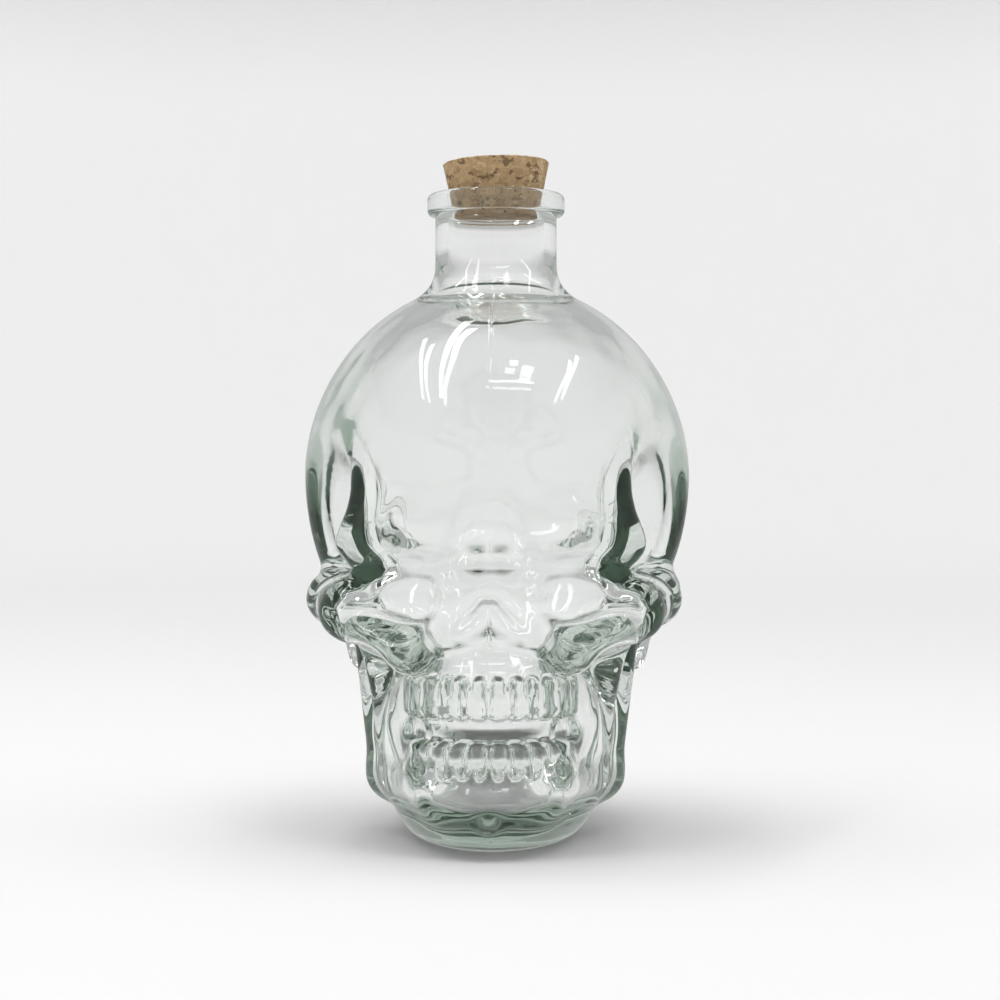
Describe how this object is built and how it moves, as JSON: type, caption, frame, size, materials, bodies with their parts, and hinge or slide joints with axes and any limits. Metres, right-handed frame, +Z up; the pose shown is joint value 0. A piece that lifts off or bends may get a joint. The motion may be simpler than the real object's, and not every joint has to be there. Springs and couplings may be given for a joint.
{
  "type": "skull bottle",
  "caption": "Clear glass bottle moulded as a human skull, with a straight neck, a rolled lip and a tapered cork stopper that pulls out.",
  "frame": {"origin": "on the neck's axis, in the flat base that the bottle stands on", "axes": "+Z up along the neck's axis, the face looks along -Y, +X is to the right as the face is seen"},
  "size_m": [0.0938, 0.1121, 0.1607],
  "materials": {
    "glass": "gloss",
    "cork": "matte"
  },
  "bodies": {
    "bottle": {"glass_bottle": "glass"},
    "cork": {"cork_stopper": "cork"}
  },
  "joints": [
    {"name": "cork_pull", "type": "slide", "parent": "bottle", "child": "cork", "axis": [0, 0, 1], "range_m": [0, 0.03]}
  ]
}
